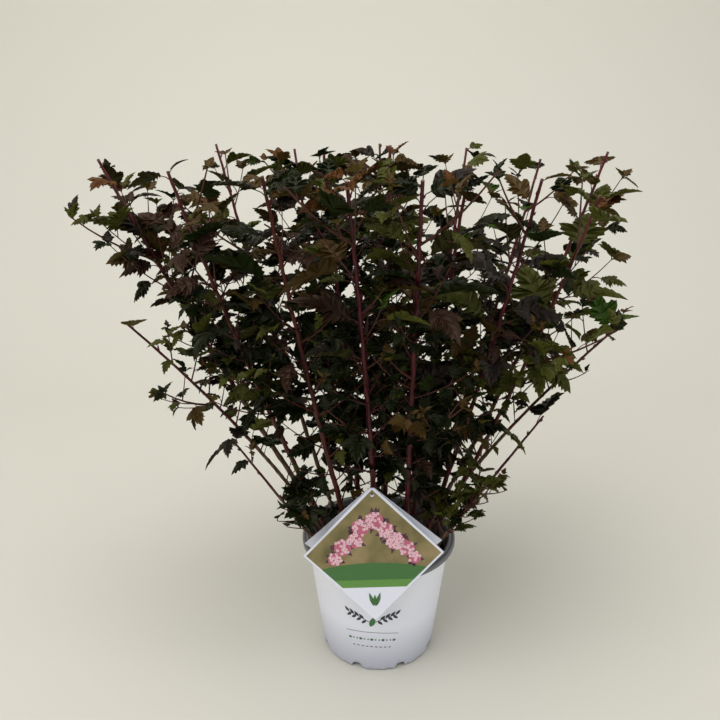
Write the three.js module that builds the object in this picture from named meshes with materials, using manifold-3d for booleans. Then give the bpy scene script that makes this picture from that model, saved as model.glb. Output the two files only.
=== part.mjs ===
/*
 * A young ninebark shrub in its round nursery pot, with a folded plant label that straddles the rim.
 *
 * Millimetres, +Z up. The origin is the middle of the pot's flat underside, and the label faces -Y.
 * The pot, the potting mix, the label, every cane and every mass of foliage is a closed solid of its own.
 * Canes stand on the mix and end where their foliage begins. Each mass of foliage is grown by one seeded
 * rule: a three-sided spine that carries the cane on to its tip, twigs that leave the spine a third of a
 * turn apart, and leaves that leave the twigs and the spine in the same way. A mass keeps to the space
 * that is nearer its own spine than any other spine.
 */
import * as THREE from "three";
import { mergeVertices } from "three/addons/utils/BufferGeometryUtils.js";
import Module from "manifold-3d";

const wasm = await Module();
wasm.setup();

// Driving dimensions
const CLEAR = 0.3;
const WELD = 1e-4;

const POT = {
  height: 119,
  rimRadius: 73.5,
  openingRadius: 67,
  rimDrop: 5,
  rimChamfer: 1,
  topRadius: 68.4,
  baseRadius: 54.5,
  wall: 1.4,
  floor: 2,
  sides: 36,
  notches: 8,
  notchWide: 12,
  notchTall: 5,
  notchDeep: 5,
};

const MIX = { level: 104, flatRadius: 54, fall: 4 };

const LABEL = {
  middle: [-6, 142],
  diagonal: 123,
  turn: 1.7,
  thick: 0.6,
  foldLevel: 201.4,
  foldOut: 59.3,
  foldDeep: 3.6,
  frontOut: 80.7,
  frontLevel: 81,
  backOut: 46.5,
  holeRadius: 1.8,
  holeBelowCorner: 7,
  cutDepth: 200,
  clearAbove: 4,
  clearBeside: 2,
  clearBehind: 3,
};

const CROWN = {
  middle: [-15, 22],
  halfWidth: 252,
  halfDepth: 190,
  top: 484,
  floor: 108,
  footShare: 0.33,
  sharePerMillimetre: 0.003,
};

// Each cane: where it stands on the mix, its tip, how early it leans out, its radius at the foot, and the
// share of its length that carries no foliage
const CANES = [
  { name: "front_left", foot: [-1, -29], tip: [-27, -110, 468], lean: 0.34, radius: 3.0, bare: 0.2 },
  { name: "front_right", foot: [24, -27], tip: [24, -120, 470], lean: 0.42, radius: 2.9, bare: 0.2 },
  { name: "front_outer_left", foot: [-22, -22], tip: [-90, -66, 466], lean: 0.58, radius: 2.8, bare: 0.26 },
  { name: "front_outer_right", foot: [37, -14], tip: [116, -66, 464], lean: 0.6, radius: 2.6, bare: 0.26 },
  { name: "right_inner", foot: [28, -5], tip: [67, -28, 470], lean: 0.5, radius: 2.8, bare: 0.16 },
  { name: "right_front", foot: [44, -2], tip: [160, -66, 452], lean: 0.62, radius: 2.4, bare: 0.26 },
  { name: "right", foot: [42, 12], tip: [192, 30, 474], lean: 0.62, radius: 2.6, bare: 0.26 },
  { name: "right_low", foot: [48, 22], tip: [208, -14, 338], lean: 0.36, radius: 2.2, bare: 0.2 },
  { name: "right_lower", foot: [50, -14], tip: [142, -30, 256], lean: 0.5, radius: 1.9, bare: 0.22 },
  { name: "right_lowest", foot: [40, -28], tip: [92, -46, 196], lean: 0.5, radius: 1.7, bare: 0.2 },
  { name: "left", foot: [-38, 0], tip: [-240, 28, 468], lean: 0.56, radius: 2.8, bare: 0.26 },
  { name: "left_front", foot: [-38, -13], tip: [-162, -54, 468], lean: 0.58, radius: 2.6, bare: 0.26 },
  { name: "left_back", foot: [-34, 14], tip: [-152, 100, 474], lean: 0.58, radius: 2.5, bare: 0.16 },
  { name: "left_low", foot: [-48, 8], tip: [-212, -30, 340], lean: 0.36, radius: 2.2, bare: 0.2 },
  { name: "left_lower", foot: [-46, -24], tip: [-128, -44, 240], lean: 0.5, radius: 1.9, bare: 0.22 },
  { name: "left_lowest", foot: [-34, -32], tip: [-72, -48, 176], lean: 0.5, radius: 1.6, bare: 0.2 },
  { name: "middle_left", foot: [-14, -2], tip: [-48, 12, 474], lean: 0.5, radius: 2.7, bare: 0.16 },
  { name: "middle", foot: [6, 8], tip: [8, 44, 478], lean: 0.5, radius: 2.8, bare: 0.16 },
  { name: "back_left", foot: [-18, 26], tip: [-84, 160, 464], lean: 0.58, radius: 2.6, bare: 0.16 },
  { name: "back", foot: [6, 34], tip: [2, 172, 468], lean: 0.58, radius: 2.6, bare: 0.16 },
  { name: "back_right", foot: [26, 28], tip: [88, 150, 466], lean: 0.58, radius: 2.6, bare: 0.16 },
  { name: "right_back", foot: [38, 24], tip: [152, 104, 460], lean: 0.6, radius: 2.4, bare: 0.16 },
];

// The lowest canes carry smaller leaves, closer together.
const LEAF_SCALE = { right_lower: 0.86, right_lowest: 0.72, left_lower: 0.86, left_lowest: 0.72 };

const CANE = { sides: 5, steps: 4, taper: 0.52, flare: 1.6, flareLength: 20 };

const TWIG = {
  sides: 3,
  steps: 1,
  spineSteps: 4,
  every: 56,
  startShare: 0.06,
  endShare: 0.84,
  length: 80,
  shortening: 0.25,
  spread: 0.2,
  angleLow: 54,
  angleHigh: 46,
  lift: 0.22,
  radius: 1.7,
  tipRadius: 1.2,
  lengthParts: [1, 0.8, 0.62, 0.46],
  testPoints: 6,
  firstTested: 2,
  leaves: 5,
  leafStart: 0.3,
  leafEnd: 0.97,
};

const LEAF = {
  length: 52,
  width: 42,
  widest: 0.44,
  fold: 0.13,
  knuckle: 2.5,
  halfThick: 0.7,
  sunk: 0.3,
  guardStart: 5,
  spread: 0.18,
  outward: 0.85,
  onward: 0.35,
  sag: 0.42,
  roll: 0.7,
  tries: 12,
  shrink: 0.05,
  guardExtra: 0.45,
  spineEvery: 23,
  spineStart: 0.04,
  spineEnd: 0.995,
};

// A shoot or a leaf leaves a three-sided stem through the middle of a side, give or take some degrees.
const TURN = { first: 30, apart: 120, play: 10 };


const SPACE = { between: 1.2, round: 1.0, samples: 24 };
const SEED = 2142;
const LEAF_SEED = SEED + 1000;
const UP = new THREE.Vector3(0, 0, 1);

const COLOURS = {
  pot: "#e4e5ea",
  mix: "#2c211b",
  label: "#eef0f4",
  cane: "#5a1f26",
  foliage: "#2f3324",
};

// Seeded numbers, vectors and solids

function seededNumbers(seed) {
  let state = seed >>> 0;
  return () => {
    state = (state + 0x6d2b79f5) >>> 0;
    let mixed = Math.imul(state ^ (state >>> 15), state | 1);
    mixed ^= mixed + Math.imul(mixed ^ (mixed >>> 7), mixed | 61);
    return ((mixed ^ (mixed >>> 14)) >>> 0) / 4294967296;
  };
}

function vary(number, share) {
  return 1 + share * (2 * number - 1);
}

function radians(degrees) {
  return (degrees * Math.PI) / 180;
}

function sideTurn(order, next) {
  return radians(TURN.first + TURN.apart * order + TURN.play * (2 * next() - 1));
}

// Two directions square to the one given, so that side, along and across make a right-handed set.
function squareTo(along) {
  const guide = Math.abs(along.z) < 0.9 ? UP : new THREE.Vector3(0, 1, 0);
  const side = new THREE.Vector3().crossVectors(guide, along).normalize();
  return { side, across: new THREE.Vector3().crossVectors(side, along) };
}

// The direction square to a stem, at a turn round it
function awayFrom(along, turn) {
  const { side, across } = squareTo(along);
  return side.multiplyScalar(Math.cos(turn)).addScaledVector(across, Math.sin(turn));
}

function solidOf(geometry) {
  const bare = geometry.clone();
  bare.deleteAttribute("normal");
  bare.deleteAttribute("uv");
  const merged = mergeVertices(bare, WELD);
  return new wasm.Manifold(
    new wasm.Mesh({
      numProp: 3,
      vertProperties: new Float32Array(merged.attributes.position.array),
      triVerts: new Uint32Array(merged.index.array),
    }),
  );
}

function geometryOf(solid) {
  const { vertProperties, triVerts } = solid.getMesh();
  const geometry = new THREE.BufferGeometry();
  geometry.setAttribute("position", new THREE.BufferAttribute(vertProperties, 3));
  geometry.setIndex(new THREE.BufferAttribute(triVerts, 1));
  const flat = geometry.toNonIndexed();
  flat.computeVertexNormals();
  return flat;
}

function touches(solid, others) {
  return others !== null && !solid.intersect(others).isEmpty();
}

function join(solid, others) {
  return others === null ? solid : others.add(solid);
}

// A straight cylinder of unit size, bent along a path, with its own radius at every step.
function taperedTube({ path, from, to, radiusAt, sides, steps, flatFoot = false }) {
  const geometry = new THREE.CylinderGeometry(1, 1, 1, sides, steps);
  const position = geometry.attributes.position;
  for (let i = 0; i < position.count; i += 1) {
    const share = position.getY(i) + 0.5;
    const t = from + (to - from) * share;
    const centre = path.getPoint(t);
    const along = flatFoot && share === 0 ? UP : path.getTangent(t);
    const { side, across } = squareTo(along);
    centre.addScaledVector(side, position.getX(i) * radiusAt(t));
    centre.addScaledVector(across, position.getZ(i) * radiusAt(t));
    position.setXYZ(i, centre.x, centre.y, centre.z);
  }
  return geometry;
}

// Pot and potting mix

function wallRadius(level) {
  return POT.baseRadius + ((POT.topRadius - POT.baseRadius) * level) / POT.height;
}

function turned(profile) {
  const points = profile.map(([radius, level]) => new THREE.Vector2(radius, level));
  return new THREE.LatheGeometry(points, POT.sides).rotateX(Math.PI / 2);
}

function drainageNotches() {
  const notches = [];
  for (let i = 0; i < POT.notches; i += 1) {
    const angle = ((i + 0.5) * 2 * Math.PI) / POT.notches;
    const notch = new THREE.BoxGeometry(2 * POT.notchDeep, POT.notchWide, 2 * POT.notchTall);
    notch.translate(POT.baseRadius, 0, 0);
    notch.rotateZ(angle);
    notches.push(solidOf(notch));
  }
  return notches;
}

function potGeometry() {
  const underRim = POT.height - POT.rimDrop;
  const shell = turned([
    [0, 0],
    [POT.baseRadius, 0],
    [wallRadius(underRim), underRim],
    [POT.rimRadius, underRim],
    [POT.rimRadius, POT.height - POT.rimChamfer],
    [POT.rimRadius - POT.rimChamfer, POT.height],
    [POT.openingRadius, POT.height],
    [wallRadius(underRim) - POT.wall, underRim],
    [wallRadius(POT.floor) - POT.wall, POT.floor],
    [0, POT.floor],
  ]);
  return geometryOf(drainageNotches().reduce((pot, notch) => pot.subtract(notch), solidOf(shell)));
}

function mixGeometry() {
  const bottom = POT.floor + CLEAR;
  const edge = MIX.level - MIX.fall;
  return turned([
    [0, bottom],
    [wallRadius(bottom) - POT.wall - CLEAR, bottom],
    [wallRadius(edge) - POT.wall - CLEAR, edge],
    [MIX.flatRadius, MIX.level],
    [0, MIX.level],
  ]);
}

// Plant label: a card folded over the rim, both leaves cut to one square that stands on its corner

function labelGeometry() {
  const { thick, foldOut, foldLevel, foldDeep, frontOut, frontLevel, backOut } = LABEL;
  const backLevel = MIX.level + CLEAR;
  const side = new THREE.Shape([
    new THREE.Vector2(-frontOut - thick, frontLevel),
    new THREE.Vector2(-frontOut, frontLevel),
    new THREE.Vector2(-foldOut, foldLevel - foldDeep),
    new THREE.Vector2(-backOut, backLevel),
    new THREE.Vector2(-backOut + thick, backLevel),
    new THREE.Vector2(-foldOut + thick, foldLevel),
    new THREE.Vector2(-foldOut - thick, foldLevel),
  ]);
  const card = new THREE.ExtrudeGeometry(side, { depth: 2 * LABEL.diagonal, bevelEnabled: false });
  card.translate(0, 0, -LABEL.diagonal).rotateX(Math.PI / 2).rotateZ(Math.PI / 2);

  const half = LABEL.diagonal / 2;
  const outline = new THREE.Shape([
    new THREE.Vector2(0, -half),
    new THREE.Vector2(half, 0),
    new THREE.Vector2(0, half),
    new THREE.Vector2(-half, 0),
  ]);
  const hole = new THREE.Path();
  hole.absarc(0, half - LABEL.holeBelowCorner, LABEL.holeRadius, 0, 2 * Math.PI, true);
  outline.holes.push(hole);
  const cut = { depth: LABEL.cutDepth, bevelEnabled: false, curveSegments: 5 };
  const cutter = new THREE.ExtrudeGeometry(outline, cut);
  cutter.rotateZ(radians(LABEL.turn)).rotateX(Math.PI / 2).translate(LABEL.middle[0], 0, LABEL.middle[1]);
  return geometryOf(solidOf(card).intersect(solidOf(cutter)));
}

// Canes

function canePath({ foot, tip, lean }) {
  const bend = [0, 1].map((axis) => foot[axis] + (tip[axis] - foot[axis]) * lean);
  return new THREE.QuadraticBezierCurve3(
    new THREE.Vector3(...foot, MIX.level + CLEAR),
    new THREE.Vector3(...bend, (MIX.level + tip[2]) / 2),
    new THREE.Vector3(...tip),
  );
}

function caneRadius(cane, t) {
  const flare = (CANE.flare - 1) * Math.max(0, 1 - (t * cane.length) / CANE.flareLength);
  return cane.radius * (1 - CANE.taper * t + flare);
}

function prepareCane(row, index) {
  const path = canePath(row);
  const leaf = LEAF_SCALE[row.name] ?? 1;
  const cane = { ...row, index, leaf, path, length: path.getLength() };
  const samples = path.getPoints(SPACE.samples);
  const firstLeafy = Math.round(SPACE.samples * row.bare);
  cane.bareSamples = samples.slice(0, firstLeafy + 1);
  cane.leafySamples = samples.slice(firstLeafy);
  return cane;
}

function caneGeometry(cane) {
  return taperedTube({
    path: cane.path,
    from: 0,
    to: cane.bare,
    radiusAt: (t) => caneRadius(cane, t),
    sides: CANE.sides,
    steps: CANE.steps,
    flatFoot: true,
  });
}

// The space that each mass of foliage keeps to

function distanceTo(samples, point) {
  return samples.reduce((least, sample) => Math.min(least, point.distanceTo(sample)), Infinity);
}

function insideCrown(point) {
  const across = (point.x - CROWN.middle[0]) / CROWN.halfWidth;
  const deep = (point.y - CROWN.middle[1]) / CROWN.halfDepth;
  const share = Math.min(1, CROWN.footShare + (point.z - CROWN.floor) * CROWN.sharePerMillimetre);
  return point.z > CROWN.floor && point.z < CROWN.top && Math.hypot(across, deep) < share;
}

function clearOfLabel(point) {
  const low = point.z < LABEL.foldLevel + LABEL.clearAbove;
  const within = Math.abs(point.x - LABEL.middle[0]) < LABEL.diagonal / 2 + LABEL.clearBeside;
  return !(low && within && point.y < LABEL.clearBehind - LABEL.backOut);
}

function inOwnSpace(point, cane, canes) {
  if (!insideCrown(point) || !clearOfLabel(point)) {
    return false;
  }
  const own = distanceTo(cane.leafySamples, point) + SPACE.between;
  return canes.every((other) => other === cane || distanceTo(other.leafySamples, point) > own);
}

function clearOfCanes(point, canes) {
  const gap = TWIG.radius + SPACE.round;
  return canes.every((cane) => distanceTo(cane.bareSamples, point) > cane.radius + gap);
}

// Twigs

function twigPath(start, heading, length) {
  const end = start.clone().addScaledVector(heading, length).addScaledVector(UP, length * TWIG.lift);
  return new THREE.LineCurve3(start, end);
}

function twigFits(path, cane, canes) {
  const tested = path.getPoints(TWIG.testPoints).slice(TWIG.firstTested);
  return tested.every((point) => inOwnSpace(point, cane, canes) && clearOfCanes(point, canes));
}

// The longest of a few lengths that fits, if any does
function growTwig(cane, canes, share, order, next) {
  const t = cane.bare + (1 - cane.bare) * share;
  const along = cane.path.getTangent(t);
  const outward = awayFrom(along, sideTurn(order, next));
  const angle = radians(TWIG.angleLow + (TWIG.angleHigh - TWIG.angleLow) * share);
  const heading = along.multiplyScalar(Math.cos(angle)).addScaledVector(outward, Math.sin(angle));
  const longest = TWIG.length * (1 - TWIG.shortening * share) * vary(next(), TWIG.spread);
  const start = cane.path.getPoint(t);
  return TWIG.lengthParts
    .map((part) => twigPath(start, heading, longest * part))
    .find((path) => twigFits(path, cane, canes));
}

function growTwigs(cane, canes) {
  const next = seededNumbers(SEED + cane.index);
  const spineLength = cane.length * (1 - cane.bare);
  const count = Math.max(3, Math.round(spineLength / (TWIG.every * cane.leaf)));
  const firstSide = Math.floor(3 * next());
  const twigs = [];
  for (let i = 0; i < count; i += 1) {
    const share = TWIG.startShare + ((TWIG.endShare - TWIG.startShare) * i) / (count - 1);
    const path = growTwig(cane, canes, share, firstSide + i, next);
    if (path) {
      twigs.push({ path, length: path.getLength() });
    }
  }
  return twigs;
}

function twigGeometry(twig) {
  return taperedTube({
    path: twig.path,
    from: 0,
    to: 1,
    radiusAt: (t) => TWIG.radius + (TWIG.tipRadius - TWIG.radius) * t,
    sides: TWIG.sides,
    steps: TWIG.steps,
  });
}

function spineGeometry(cane) {
  return taperedTube({
    path: cane.path,
    from: cane.bare + CLEAR / cane.length,
    to: 1,
    radiusAt: (t) => caneRadius(cane, t),
    sides: TWIG.sides,
    steps: TWIG.spineSteps,
  });
}

// Leaves: eight faces each, folded up along the midrib, with a pointed root that starts inside the twig

function bladeSolid({ root, heading, face, length, width, start, extra }) {
  const across = new THREE.Vector3().crossVectors(face, heading);
  const at = (on, sideways, above) =>
    root.clone().addScaledVector(heading, on).addScaledVector(across, sideways).addScaledVector(face, above);
  const widest = length * LEAF.widest;
  const half = width / 2 + extra;
  const corners = {
    base: at(start, 0, 0),
    tip: at(length + extra, 0, 0),
    left: at(widest, half, width * LEAF.fold),
    right: at(widest, -half, width * LEAF.fold),
    upper: at(start + LEAF.knuckle, 0, LEAF.halfThick + extra),
    lower: at(start + LEAF.knuckle, 0, -LEAF.halfThick - extra),
  };
  const points = Object.values(corners);
  const faces = [0, 4, 2, 0, 3, 4, 0, 2, 5, 0, 5, 3, 1, 2, 4, 1, 4, 3, 1, 5, 2, 1, 3, 5];
  const solid = new wasm.Manifold(
    new wasm.Mesh({
      numProp: 3,
      vertProperties: new Float32Array(points.flatMap((point) => point.toArray())),
      triVerts: new Uint32Array(faces),
    }),
  );
  return { solid, corners: [corners.tip, corners.left, corners.right] };
}

function leafParts(leaf) {
  const { solid, corners } = bladeSolid({ ...leaf, start: -LEAF.sunk, extra: 0 });
  const guard = bladeSolid({ ...leaf, start: LEAF.guardStart, extra: LEAF.guardExtra }).solid;
  return { solid, corners, guard };
}

function leafDirections(path, t, turn, next) {
  const along = path.getTangent(t);
  const heading = awayFrom(along, turn).multiplyScalar(LEAF.outward);
  heading.addScaledVector(along, LEAF.onward).addScaledVector(UP, -LEAF.sag).normalize();
  const level = new THREE.Vector3().crossVectors(heading, UP).normalize();
  const face = new THREE.Vector3().crossVectors(level, heading);
  face.applyAxisAngle(heading, LEAF.roll * (2 * next() - 1));
  return { heading, face };
}

function evenSlots(path, count, from, to) {
  const at = (order) => from + ((to - from) * order) / (count - 1);
  return Array.from({ length: count }, (_, order) => ({ path, t: at(order), order }));
}

function leafSlots(cane, twigs) {
  const slots = twigs.flatMap(({ path, length }) => {
    const count = Math.max(2, Math.round((TWIG.leaves * length) / (TWIG.length * cane.leaf)));
    return evenSlots(path, count, TWIG.leafStart, TWIG.leafEnd);
  });
  const onSpine = Math.round((cane.length * (1 - cane.bare)) / (LEAF.spineEvery * cane.leaf));
  const onCane = (share) => cane.bare + (1 - cane.bare) * share;
  return [...slots, ...evenSlots(cane.path, onSpine, onCane(LEAF.spineStart), onCane(LEAF.spineEnd))];
}

function placeLeaf(slot, scale, next, fits) {
  const size = scale * vary(next(), LEAF.spread);
  for (let attempt = 0; attempt < LEAF.tries; attempt += 1) {
    const shrink = 1 - LEAF.shrink * attempt;
    const turn = sideTurn(slot.order + attempt, next);
    const { heading, face } = leafDirections(slot.path, slot.t, turn, next);
    const leaf = leafParts({
      root: slot.path.getPoint(slot.t),
      heading,
      face,
      length: LEAF.length * size * shrink,
      width: LEAF.width * size * shrink,
    });
    if (fits(leaf)) {
      return leaf;
    }
  }
  return null;
}

function growFoliage(cane, canes, taken) {
  const next = seededNumbers(LEAF_SEED + cane.index);
  const twigs = growTwigs(cane, canes);
  const spine = solidOf(spineGeometry(cane));
  const wood = twigs.reduce((all, twig) => all.add(solidOf(twigGeometry(twig))), spine);
  let leaves = null;
  const fits = (leaf) =>
    leaf.corners.every((corner) => inOwnSpace(corner, cane, canes)) &&
    !touches(leaf.solid, taken) &&
    !touches(leaf.guard, taken) &&
    !touches(leaf.guard, wood) &&
    !touches(leaf.solid, leaves) &&
    !touches(leaf.guard, leaves);
  for (const slot of leafSlots(cane, twigs)) {
    const leaf = placeLeaf(slot, cane.leaf, next, fits);
    if (leaf !== null) {
      leaves = join(leaf.solid, leaves);
    }
  }
  return join(wood, leaves);
}

// The whole plant

const plant = new THREE.Group();
let taken = null;

function addMesh(name, geometry, { color, roughness, metalness = 0 }) {
  const material = new THREE.MeshStandardMaterial({ color, roughness, metalness });
  const mesh = new THREE.Mesh(geometry, material);
  mesh.name = name;
  plant.add(mesh);
  taken = join(solidOf(geometry), taken);
}

addMesh("pot", potGeometry(), { color: COLOURS.pot, roughness: 0.4 });
addMesh("potting_mix", mixGeometry(), { color: COLOURS.mix, roughness: 1 });
addMesh("plant_label", labelGeometry(), { color: COLOURS.label, roughness: 0.5 });

const canes = CANES.map(prepareCane);
for (const cane of canes) {
  addMesh(`cane_${cane.name}`, caneGeometry(cane), { color: COLOURS.cane, roughness: 0.7 });
}
for (const cane of canes) {
  const foliage = geometryOf(growFoliage(cane, canes, taken));
  addMesh(`foliage_${cane.name}`, foliage, { color: COLOURS.foliage, roughness: 0.6 });
}

export default plant;
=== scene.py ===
"""A young ninebark shrub in its nursery pot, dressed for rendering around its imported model.

+Z is up, the origin is under the middle of the pot, and the label faces -Y. Sizes are in millimetres. The
canes and their first twigs are grown again by the rule of the part's source, from the same seeds, and then
carried on to finer twigs and life-size leaves.
"""
import math
from types import SimpleNamespace as Sizes

import bpy
import numpy as np
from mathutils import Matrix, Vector


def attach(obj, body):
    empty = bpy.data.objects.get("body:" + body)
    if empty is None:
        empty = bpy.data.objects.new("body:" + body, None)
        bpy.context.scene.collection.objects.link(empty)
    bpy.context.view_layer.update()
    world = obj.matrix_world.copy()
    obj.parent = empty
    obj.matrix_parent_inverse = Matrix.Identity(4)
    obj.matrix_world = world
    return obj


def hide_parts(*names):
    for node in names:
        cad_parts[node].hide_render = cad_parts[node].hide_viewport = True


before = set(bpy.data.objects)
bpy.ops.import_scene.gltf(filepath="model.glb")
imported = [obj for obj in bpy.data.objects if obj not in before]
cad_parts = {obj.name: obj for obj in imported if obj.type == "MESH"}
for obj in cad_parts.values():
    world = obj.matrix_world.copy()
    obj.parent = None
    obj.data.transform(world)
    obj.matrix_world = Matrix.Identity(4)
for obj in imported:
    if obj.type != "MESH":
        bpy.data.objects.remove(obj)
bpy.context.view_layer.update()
MM = 0.001

# Sizes that the part's source names too
POT = Sizes(height=119, rim=73.5, opening=67, rim_drop=5, top=68.4, base=54.5, wall=1.4)
NOTCH = Sizes(count=8, wide=12, tall=5)
MIX = Sizes(level=104, flat=54, fall=4, clear=0.3)
LABEL = Sizes(
    middle=(-6, 142), half=61.5, turn=1.7, fold=(59.3, 201.4), foot=(80.7, 81), back=46.5, hole=1.8,
    hole_below=7, clear_above=4, clear_beside=2, clear_behind=3,
)
CROWN = Sizes(middle=(-15, 22), half=(252, 190), top=484, floor=108, foot_share=0.33, share_per_mm=0.003)
SPACE = Sizes(between=1.2, round=1.0, samples=24)
CANE = Sizes(taper=0.52, flare=1.6, flare_length=20)
TWIG = Sizes(
    every=56, start=0.06, end=0.84, length=80, lengths=(1, 0.8, 0.62, 0.46), shortening=0.25, spread=0.2,
    angle_low=54, angle_high=46, lift=0.22, radius=1.7,
)
TURN = Sizes(first=30, apart=120, play=10)
SEED = 2142

# Each cane: name, foot on the mix, tip, how early it leans out, foot radius, bare share, leaf size
CANES = [
    ("front_left", (-1, -29), (-27, -110, 468), 0.34, 3.0, 0.2, 1),
    ("front_right", (24, -27), (24, -120, 470), 0.42, 2.9, 0.2, 1),
    ("front_outer_left", (-22, -22), (-90, -66, 466), 0.58, 2.8, 0.26, 1),
    ("front_outer_right", (37, -14), (116, -66, 464), 0.6, 2.6, 0.26, 1),
    ("right_inner", (28, -5), (67, -28, 470), 0.5, 2.8, 0.16, 1),
    ("right_front", (44, -2), (160, -66, 452), 0.62, 2.4, 0.26, 1),
    ("right", (42, 12), (192, 30, 474), 0.62, 2.6, 0.26, 1),
    ("right_low", (48, 22), (208, -14, 338), 0.36, 2.2, 0.2, 1),
    ("right_lower", (50, -14), (142, -30, 256), 0.5, 1.9, 0.22, 0.86),
    ("right_lowest", (40, -28), (92, -46, 196), 0.5, 1.7, 0.2, 0.72),
    ("left", (-38, 0), (-240, 28, 468), 0.56, 2.8, 0.26, 1),
    ("left_front", (-38, -13), (-162, -54, 468), 0.58, 2.6, 0.26, 1),
    ("left_back", (-34, 14), (-152, 100, 474), 0.58, 2.5, 0.16, 1),
    ("left_low", (-48, 8), (-212, -30, 340), 0.36, 2.2, 0.2, 1),
    ("left_lower", (-46, -24), (-128, -44, 240), 0.5, 1.9, 0.22, 0.86),
    ("left_lowest", (-34, -32), (-72, -48, 176), 0.5, 1.6, 0.2, 0.72),
    ("middle_left", (-14, -2), (-48, 12, 474), 0.5, 2.7, 0.16, 1),
    ("middle", (6, 8), (8, 44, 478), 0.5, 2.8, 0.16, 1),
    ("back_left", (-18, 26), (-84, 160, 464), 0.58, 2.6, 0.16, 1),
    ("back", (6, 34), (2, 172, 468), 0.58, 2.6, 0.16, 1),
    ("back_right", (26, 28), (88, 150, 466), 0.58, 2.6, 0.16, 1),
    ("right_back", (38, 24), (152, 104, 460), 0.6, 2.4, 0.16, 1),
]
UP = np.array([0.0, 0.0, 1.0])
FULL_TURN = 2 * math.pi
GOLDEN = math.pi * (3 - math.sqrt(5))


# Camera, floor and light

CAMERA = Sizes(side=-18, ahead=650, height=540, pitch=20.5, focal=780, picture=720, sensor=36)
AIR = Sizes(colour=(1.0, 0.995, 0.98, 1), strength=0.62)
WARM, COOL = (1.0, 0.985, 0.965), (0.94, 0.97, 1.0)
# Each lamp, in metres: name, place, the point it aims at, size, power, colour
LAMPS = [
    ("key", (-1.15, -1.1, 2.1), (0, 0, 0.25), 1.9, 32, WARM),
    ("fill", (1.6, -1.0, 1.2), (0, 0, 0.25), 1.6, 9, COOL),
    ("wall", (0.0, -0.1, 1.9), (0.0, 1.4, 1.0), 1.0, 15, WARM),
]


def add_object(name, data):
    item = bpy.data.objects.new(name, data)
    bpy.context.scene.collection.objects.link(item)
    return item


def set_camera():
    data = bpy.data.cameras.new("camera")
    data.sensor_width = CAMERA.sensor
    data.lens = CAMERA.sensor * CAMERA.focal / CAMERA.picture
    camera = add_object("camera", data)
    camera.location = np.array([CAMERA.side, -CAMERA.ahead, CAMERA.height]) * MM
    camera.rotation_euler = (math.radians(90 - CAMERA.pitch), 0, 0)
    bpy.context.scene.camera = camera


def set_floor():
    """A pale floor that curves up into a low wall all round, nearest behind the plant."""
    side, front, back, bend, high, columns, rows = 2800, -2800, 620, 700, 2200, 96, 24
    way = ways((np.arange(columns) + 0.5) * FULL_TURN / columns)
    corner = np.where(way > 0, [side, back], [-side, front])
    rings = [(bend * math.sin(a), bend * (1 - math.cos(a))) for a in np.linspace(0, math.pi / 2, rows)]
    rings.append((bend, high))
    points = [(x, y, z) for out, z in rings for x, y in corner + out * way]
    flat = len(points) + np.arange(4)
    points += [(-side, front, 0), (side, front, 0), (side, back, 0), (-side, back, 0)]
    faces = np.concatenate([grid_faces(len(rings), columns), [flat]])
    add_mesh("floor", points, faces, [paint("floor_paint", (0.61, 0.598, 0.54), 0.7, 0.25)])


def set_light():
    bpy.context.scene.view_settings.view_transform = "Standard"
    world = bpy.data.worlds.new("studio")
    world.use_nodes = True
    background = world.node_tree.nodes["Background"]
    background.inputs["Color"].default_value = AIR.colour
    background.inputs["Strength"].default_value = AIR.strength
    bpy.context.scene.world = world
    for name, place, aim, size, power, colour in LAMPS:
        data = bpy.data.lights.new(name, "AREA")
        data.size, data.energy, data.color = size, power, colour
        lamp = add_object(name, data)
        lamp.location = place
        lamp.rotation_euler = (Vector(aim) - Vector(place)).to_track_quat("-Z", "Y").to_euler()


# Materials

def fill(material, node, inputs):
    """Sets each input of a node to a value, or links it to the output of another node."""
    for name, value in inputs.items():
        if isinstance(value, bpy.types.NodeSocket):
            material.node_tree.links.new(value, node.inputs[name])
        else:
            node.inputs[name].default_value = value
    return node


def add_node(material, kind, **inputs):
    return fill(material, material.node_tree.nodes.new("ShaderNode" + kind), inputs)


def fill_shader(material, inputs):
    fill(material, material.node_tree.nodes["Principled BSDF"], inputs)


def paint(name, colour, roughness, gloss=0.5):
    material = bpy.data.materials.new(name)
    material.use_nodes = True
    fill_shader(material, {"Base Color": (*colour, 1), "Roughness": roughness, "Specular IOR Level": gloss})
    return material


def places(material, stretch):
    """Places in the model's own metres, stretched along each axis."""
    metres = add_node(material, "TexCoord").outputs["Object"]
    return add_node(material, "Mapping", Vector=metres, Scale=stretch).outputs["Vector"]


def add_noise(material, scale, detail, stretch=(1, 1, 1)):
    where = places(material, stretch)
    return add_node(material, "TexNoise", Vector=where, Scale=scale, Detail=detail).outputs["Fac"]


def add_level(material, top):
    """The height above the object's foot, as a share of a top level in metres."""
    return add_node(material, "SeparateXYZ", Vector=places(material, (1, 1, 1 / top))).outputs["Z"]


def add_bump(material, height, strength, distance):
    bump = add_node(material, "Bump", Height=height, Strength=strength, Distance=distance)
    fill_shader(material, {"Normal": bump.outputs["Normal"]})


def add_ramp(material, value, stops):
    """Drives the colour of the shader by a ramp over a value."""
    ramp = add_node(material, "ValToRGB", Fac=value)
    elements = ramp.color_ramp.elements
    while len(elements) < len(stops):
        elements.new(0.5)
    for element, (place, colour) in zip(elements, stops):
        element.position, element.color = place, (*colour, 1)
    fill_shader(material, {"Base Color": ramp.outputs["Color"]})


def mottled(name, stops, roughness, scale, detail=3, gloss=0.5, stretch=(1, 1, 1), bump=None):
    """A paint whose colour follows a noise, with relief from the same noise."""
    material = paint(name, stops[-1][1], roughness, gloss)
    noise = add_noise(material, scale, detail, stretch)
    add_ramp(material, noise, stops)
    if bump:
        add_bump(material, noise, *bump)
    return material


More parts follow.
